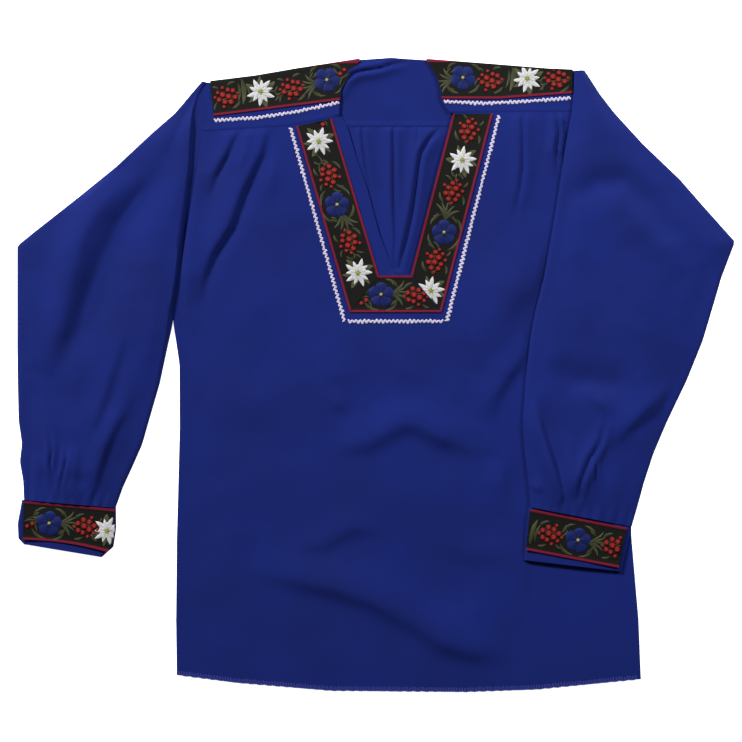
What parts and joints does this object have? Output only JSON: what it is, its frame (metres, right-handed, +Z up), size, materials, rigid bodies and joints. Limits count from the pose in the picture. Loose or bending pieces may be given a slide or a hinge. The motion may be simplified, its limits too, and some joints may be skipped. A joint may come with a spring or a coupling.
{
  "type": "herdsman shirt",
  "caption": "Loose cotton pullover shirt laid flat, with a framed neck slit, yokes, long gathered sleeves and flower ribbons.",
  "frame": {"origin": "middle of the plan box, on the surface the shirt lies on", "axes": "+Z up from the surface, +Y from the hem to the neck, +X to the right of a viewer who looks down on the front"},
  "size_m": [0.8614, 0.7599, 0.0141],
  "materials": {
    "cotton": "matt plain-weave cotton",
    "ribbon": "woven ribbon with red edges and brocaded flowers",
    "braid": "matt zigzag braid"
  },
  "bodies": {
    "root": {"back_panel": "cotton", "back_yoke": "cotton", "front_panel": "cotton", "front_yoke_left": "cotton", "front_yoke_right": "cotton", "sleeve_left": "cotton", "sleeve_right": "cotton", "cuff_left": "cotton", "cuff_right": "cotton", "neck_ribbon_left": "ribbon", "neck_ribbon_right": "ribbon", "neck_ribbon_foot": "ribbon", "shoulder_ribbon_left": "ribbon", "shoulder_ribbon_right": "ribbon", "cuff_ribbon_left": "ribbon", "cuff_ribbon_right": "ribbon", "neck_braid_left": "braid", "neck_braid_right": "braid", "neck_braid_foot": "braid", "shoulder_braid_left": "braid", "shoulder_braid_right": "braid"}
  },
  "joints": []
}
